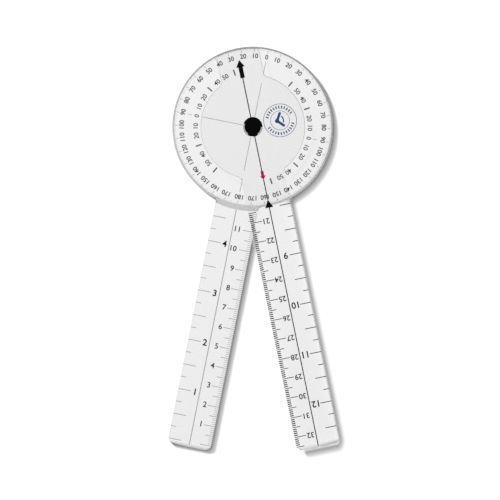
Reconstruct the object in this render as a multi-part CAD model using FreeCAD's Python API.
import FreeCAD, Part
import math
import os

# Clear plastic goniometer: a full-circle dial moulded in one with its fixed arm, a moving arm
# with a hub and a pointer end, and a black snap rivet that joins them and holds the setting.
#
# Frame: origin on the pivot axis at the underside, +Z up out of the printed faces.
# The fixed arm lies along -Y. The moving arm opens from it towards +X.
# All sizes are in millimetres and degrees.

# ---- driving dimensions ----
opening_angle = 23.0

dial_radius = 40.6
dial_thickness = 2.6
rim_rounding = 1.3

arm_width = 21.8
arm_reach = 164.6
arm_corner = 3.0
fixed_arm_thickness = 2.0
fixed_root_fillet = 1.6
root_ramp_start = 39.5
root_ramp_end = 42.4

moving_thickness = 1.9
hub_radius = 26.3
hub_fillet = 2.5
pointer_reach = 39.6
pointer_corner = 1.2
edge_break = 0.25
end_bevel_length = 2.2
end_bevel_depth = 0.5

washer_thickness = 0.30
axial_play = 0.05
friction_washer_radius = 4.2
head_washer_radius = 4.8

barrel_radius = 3.15
running_clearance = 0.05
socket_flange_radius = 4.8
socket_flange_thickness = 1.0
socket_floor_thickness = 0.7
recess_depth = 1.2
recess_clearance = 0.1

shank_radius = 1.8
shank_tip_chamfer = 0.4
head_radius = 4.15
head_height = 1.5
head_rounding = 0.7
flange_radius = 4.9
flange_height = 0.9
flange_cut = 0.75
latch_width = 4.8
latch_tip_width = 2.0
latch_reach = 4.75
latch_shoulder = 4.3
latch_height = 0.9
latch_turn = 12.0

# ---- levels up the pivot, from the underside ----
socket_z = recess_depth - socket_flange_thickness
shank_z = socket_z + socket_floor_thickness
friction_washer_z = dial_thickness
moving_z = friction_washer_z + washer_thickness + axial_play
moving_top = moving_z + moving_thickness
barrel_top = moving_top + 2.0 * axial_play
head_z = barrel_top + washer_thickness

SAME = 1e-6
UP = FreeCAD.Vector(0, 0, 1)
ORIGIN = FreeCAD.Vector(0, 0, 0)


def point(x, y, z=0.0):
    return FreeCAD.Vector(x, y, z)


def disc(radius, thickness, z=0.0):
    """A plain round plate on the pivot axis."""
    return Part.makeCylinder(radius, thickness, point(0, 0, z), UP)


def ring(outer, inner, thickness, z):
    """A flat washer on the pivot axis."""
    return disc(outer, thickness, z).cut(disc(inner, thickness, z))


def arc(start, centre, radius, finish):
    """The shorter arc about centre from start to finish."""
    middle = (start + finish) * 0.5 - centre
    middle.normalize()
    return Part.Arc(start, centre + middle * radius, finish).toShape()


def bar_face(root_radius, fillet, reach, corner):
    """A flat bar along -Y that grows out of a disc of root_radius with a fillet on each side."""
    half = arm_width / 2.0
    fillet_x = half + fillet
    fillet_y = -math.sqrt((root_radius + fillet) ** 2 - fillet_x ** 2)
    on_disc = root_radius / (root_radius + fillet)
    edges = []
    for side in (1, -1):
        fillet_centre = point(side * fillet_x, fillet_y)
        touch = fillet_centre * on_disc
        straight_start = point(side * half, fillet_y)
        straight_end = point(side * half, -reach + corner)
        corner_centre = point(side * (half - corner), -reach + corner)
        corner_end = point(side * (half - corner), -reach)
        edges.append(arc(touch, fillet_centre, fillet, straight_start))
        edges.append(Part.makeLine(straight_start, straight_end))
        edges.append(arc(straight_end, corner_centre, corner, corner_end))
        edges.append(Part.makeLine(touch, point(0, touch.y)))
    edges.append(Part.makeLine(point(half - corner, -reach), point(corner - half, -reach)))
    return Part.Face(Part.Wire(Part.__sortEdges__(edges)))


def bevelled_end(shape, top):
    """The shape with its far end sloping down from the top face."""
    start, finish = end_bevel_length - arm_reach, -arm_reach - 1.0
    drop = end_bevel_depth * (start - finish) / end_bevel_length
    corners = [point(-arm_width, start, top), point(-arm_width, finish, top),
               point(-arm_width, finish, top - drop)]
    wedge = Part.Face(Part.makePolygon(corners + corners[:1])).extrude(point(2.0 * arm_width, 0))
    return shape.cut(wedge)


def edges_at(shape, *levels):
    """The edges that lie flat at one of the given heights."""
    return [edge for edge in shape.Edges for z in levels
            if abs(edge.BoundBox.ZMin - z) < SAME and abs(edge.BoundBox.ZMax - z) < SAME]


def opened(shape):
    """The shape turned from the closed pose to the opening angle."""
    turned = shape.copy()
    turned.rotate(ORIGIN, UP, opening_angle)
    return turned


def fixed_arm():
    """Dial and its arm, one moulding, with a ramp between them and a recess for the rivet below."""
    dial = disc(dial_radius, dial_thickness)
    dial = dial.makeFillet(rim_rounding, edges_at(dial, dial_thickness))
    bar = bar_face(dial_radius, fixed_root_fillet, arm_reach, arm_corner)
    arm = bar.extrude(UP * fixed_arm_thickness)
    outside = [e for e in edges_at(arm, fixed_arm_thickness) if e.BoundBox.YMin < -dial_radius]
    arm = bevelled_end(arm.makeFillet(edge_break, outside), fixed_arm_thickness)
    ramp = Part.makeCone(root_ramp_end, root_ramp_start, dial_thickness - fixed_arm_thickness,
                         point(0, 0, fixed_arm_thickness), UP)
    ramp = ramp.common(bar.extrude(UP * dial_thickness))
    body = dial.fuse(arm).fuse(ramp)
    body = body.cut(disc(barrel_radius, dial_thickness))
    recess = disc(socket_flange_radius + recess_clearance, recess_depth)
    return body.cut(recess).removeSplitter()


def moving_arm():
    """Hub disc with the long arm on one side and the short pointer end on the other."""
    arm = bar_face(hub_radius, hub_fillet, arm_reach, arm_corner).extrude(UP * moving_thickness)
    pointer = arm.copy()
    pointer.rotate(ORIGIN, UP, 180)
    pointer = pointer.common(disc(pointer_reach, moving_thickness))
    body = disc(hub_radius, moving_thickness).fuse(arm).fuse(pointer).removeSplitter()
    end_corners = [edge for edge in body.Edges
                   if edge.BoundBox.ZLength > SAME and edge.BoundBox.YMin > hub_radius + hub_fillet]
    body = body.makeFillet(pointer_corner, end_corners)
    body = body.makeFillet(edge_break, edges_at(body, 0.0, moving_thickness))
    body = bevelled_end(body, moving_thickness)
    body = body.cut(disc(barrel_radius + running_clearance, moving_thickness))
    body.translate(UP * moving_z)
    return opened(body)


def friction_washer():
    """Thin washer between the dial and the hub that keeps the setting."""
    return ring(friction_washer_radius, barrel_radius + running_clearance, washer_thickness,
                friction_washer_z)


def head_washer():
    """Thin clear washer under the rivet head."""
    return ring(head_washer_radius, shank_radius + running_clearance, washer_thickness, barrel_top)


def rivet_socket():
    """Rear half of the rivet: a flange sunk in the recess and a barrel that is the hinge pin."""
    flange = disc(socket_flange_radius, socket_flange_thickness, socket_z)
    barrel = disc(barrel_radius, barrel_top - socket_z, socket_z)
    return flange.fuse(barrel).cut(disc(shank_radius, barrel_top, shank_z)).removeSplitter()


def rivet_post():
    """Front half of the rivet: domed head, half-round flange, latch tab and pressed-in shank."""
    head = disc(head_radius, head_height, head_z)
    head = head.makeFillet(head_rounding, edges_at(head, head_z + head_height))
    half_plane = Part.makeBox(2 * flange_radius, flange_radius, flange_height,
                              point(-flange_radius, flange_cut, head_z))
    flange = disc(flange_radius, flange_height, head_z).common(half_plane)
    latch_half = latch_width / 2.0
    tip_half = latch_tip_width / 2.0
    outline = [(-latch_half, 0), (latch_half, 0), (latch_half, -latch_shoulder),
               (tip_half, -latch_reach), (-tip_half, -latch_reach), (-latch_half, -latch_shoulder)]
    corners = [point(x, y, head_z) for x, y in outline]
    latch = Part.Face(Part.makePolygon(corners + corners[:1])).extrude(UP * latch_height)
    latch.rotate(ORIGIN, UP, latch_turn)
    shank = disc(shank_radius, head_z - shank_z, shank_z)
    shank = shank.makeChamfer(shank_tip_chamfer, edges_at(shank, shank_z))
    return head.fuse(flange).fuse(latch).fuse(shank).removeSplitter()


NODES = {
    "fixed_arm": fixed_arm,
    "moving_arm": moving_arm,
    "friction_washer": friction_washer,
    "head_washer": head_washer,
    "rivet_socket": rivet_socket,
    "rivet_post": rivet_post,
}

os.makedirs("parts", exist_ok=True)
for name, make in NODES.items():
    shape = make()
    shape.exportStep("parts/" + name + ".step")
    box = shape.BoundBox
    print(name, "solids", len(shape.Solids), "valid", shape.isValid(), "volume", round(shape.Volume, 1),
          "z", round(box.ZMin, 2), round(box.ZMax, 2))
